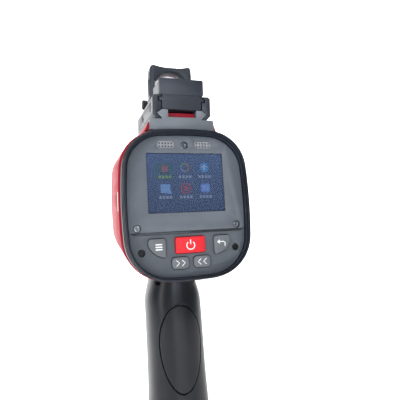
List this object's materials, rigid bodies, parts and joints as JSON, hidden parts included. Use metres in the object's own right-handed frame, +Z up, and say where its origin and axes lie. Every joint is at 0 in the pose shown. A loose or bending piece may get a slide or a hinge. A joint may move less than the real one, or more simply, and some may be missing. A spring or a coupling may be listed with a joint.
{
  "type": "date code inkjet printer",
  "caption": "Pistol-grip handheld inkjet date coder with a tilted rear display and keypad, red side shells, a printing nose and an aiming sight clamped on a top rail.",
  "frame": {"origin": "centre of the flat base of the grip", "axes": "+X to the user's right, +Y away from the user towards the printing nose, +Z up"},
  "size_m": [0.083, 0.1381, 0.2559],
  "materials": {
    "housing": "satin",
    "seal": "matte",
    "cover_plate": "fine matte texture",
    "key_plate": "fine matte texture",
    "window": "polished",
    "electronics": "matte",
    "dark_insert": "matte",
    "screw_steel": "satin",
    "screw_black": "black oxide",
    "key_grey": "matte",
    "key_red": "matte",
    "board": "solder mask",
    "red_shell": "satin",
    "label": "matte",
    "rail_alloy": "bead blasted",
    "anodised": "matte anodised",
    "lens": "coated",
    "knob": "matte anodised",
    "grip_black": "satin",
    "grip_inlay": "satin",
    "trigger_black": "satin",
    "cells": "wrapped",
    "port_steel": "satin",
    "nose_black": "fine texture",
    "plate_steel": "brushed",
    "cartridge": "matte",
    "roller_rubber": "matte",
    "sensor": "gloss"
  },
  "bodies": {
    "machine": {"rear_housing": "housing", "gasket": "seal", "display_cover": "cover_plate", "keypad_panel": "key_plate", "display_window": "window", "display_module": "electronics", "grille_left": "cover_plate", "grille_right": "cover_plate", "speaker_left": "dark_insert", "speaker_right": "dark_insert", "cover_screws": "screw_steel", "top_screw": "screw_steel", "panel_screws": "screw_black", "keypad_membrane": "seal", "main_board": "board", "left_shell": "red_shell", "right_shell": "red_shell", "shell_screws": "screw_steel", "label_left": "label", "label_right": "label", "rail": "rail_alloy", "rail_insert": "red_shell", "rail_screws": "screw_steel", "grip_frame": "grip_black", "grip_inlay": "grip_inlay", "neck_screws": "screw_black", "trigger_pin": "screw_steel", "trigger_spring": "screw_steel", "trigger_switch": "electronics", "battery_pack": "cells", "base_cap": "grip_black", "base_screws": "screw_black", "charge_port": "port_steel", "nose_housing": "nose_black", "nozzle_plate": "plate_steel", "head_driver": "board", "roller_axles": "screw_steel", "photo_sensor": "sensor", "nose_screws": "screw_black"},
    "key_menu": {"key_menu": "key_grey"},
    "key_power": {"key_power": "key_red"},
    "key_escape": {"key_escape": "key_grey"},
    "key_next": {"key_next": "key_grey"},
    "key_back": {"key_back": "key_grey"},
    "trigger": {"trigger": "trigger_black"},
    "sight_mount": {"mount_block": "anodised", "sight_body": "anodised", "sight_hood": "anodised", "sight_lens": "lens", "sight_emitter": "electronics", "sight_screws": "screw_black"},
    "jaw_left": {"jaw_left": "anodised"},
    "jaw_right": {"jaw_right": "anodised"},
    "clamp_bolt_rear": {"clamp_bolt_rear": "screw_steel"},
    "clamp_bolt_front": {"clamp_bolt_front": "screw_steel"},
    "sight_knob": {"sight_knob": "knob"},
    "cartridge": {"ink_cartridge": "cartridge"},
    "roller_left": {"roller_left": "roller_rubber"},
    "roller_right": {"roller_right": "roller_rubber"}
  },
  "joints": [
    {"name": "key_menu_press", "type": "slide", "parent": "machine", "child": "key_menu", "axis": [0, 0.9936, -0.1132], "range_m": [0, 0.001], "stiffness_N_per_m": 900, "springref_m": -0.0003},
    {"name": "key_power_press", "type": "slide", "parent": "machine", "child": "key_power", "axis": [0, 0.9936, -0.1132], "range_m": [0, 0.001], "stiffness_N_per_m": 900, "springref_m": -0.0003},
    {"name": "key_escape_press", "type": "slide", "parent": "machine", "child": "key_escape", "axis": [0, 0.9936, -0.1132], "range_m": [0, 0.001], "stiffness_N_per_m": 900, "springref_m": -0.0003},
    {"name": "key_next_press", "type": "slide", "parent": "machine", "child": "key_next", "axis": [0, 0.9936, -0.1132], "range_m": [0, 0.001], "stiffness_N_per_m": 900, "springref_m": -0.0003},
    {"name": "key_back_press", "type": "slide", "parent": "machine", "child": "key_back", "axis": [0, 0.9936, -0.1132], "range_m": [0, 0.001], "stiffness_N_per_m": 900, "springref_m": -0.0003},
    {"name": "trigger_pull", "type": "hinge", "parent": "machine", "child": "trigger", "pos_m": [0, 0.04, 0.104], "axis": [-1, 0, 0], "range_deg": [0, 11], "stiffness_Nm_per_rad": 0.25, "springref_deg": -8.59},
    {"name": "sight_slide", "type": "slide", "parent": "machine", "child": "sight_mount", "axis": [0, 1, 0], "range_m": [0, 0.006]},
    {"name": "jaw_left_release", "type": "slide", "parent": "sight_mount", "child": "jaw_left", "axis": [-1, 0, 0], "range_m": [0, 0.0006]},
    {"name": "jaw_right_release", "type": "slide", "parent": "sight_mount", "child": "jaw_right", "axis": [1, 0, 0], "range_m": [0, 0.0006]},
    {"name": "clamp_bolt_rear_turn", "type": "hinge", "parent": "jaw_left", "child": "clamp_bolt_rear", "pos_m": [-0.017, -0.024, 0.2202], "axis": [-1, 0, 0], "range_deg": [0, 617]},
    {"name": "clamp_bolt_front_turn", "type": "hinge", "parent": "jaw_left", "child": "clamp_bolt_front", "pos_m": [-0.017, 0.01, 0.2202], "axis": [-1, 0, 0], "range_deg": [0, 617]},
    {"name": "sight_knob_turn", "type": "hinge", "parent": "sight_mount", "child": "sight_knob", "pos_m": [-0.017, 0.011, 0.2309], "axis": [-1, 0, 0], "range_deg": [0, 300]},
    {"name": "cartridge_slide", "type": "slide", "parent": "machine", "child": "cartridge", "axis": [0, 1, 0], "range_m": [0, 0.045]},
    {"name": "roller_left_spin", "type": "hinge", "parent": "machine", "child": "roller_left", "pos_m": [-0.024, 0.0824, 0.158], "axis": [0, 0, 1], "continuous": true},
    {"name": "roller_right_spin", "type": "hinge", "parent": "machine", "child": "roller_right", "pos_m": [0.024, 0.0824, 0.158], "axis": [0, 0, 1], "continuous": true}
  ],
  "couplings": [
    {"joint": "jaw_right_release", "follows": "jaw_left_release", "ratio": 1},
    {"joint": "clamp_bolt_rear_turn", "follows": "jaw_left_release", "rad_per_m": 17950},
    {"joint": "clamp_bolt_front_turn", "follows": "jaw_left_release", "rad_per_m": 17950}
  ]
}
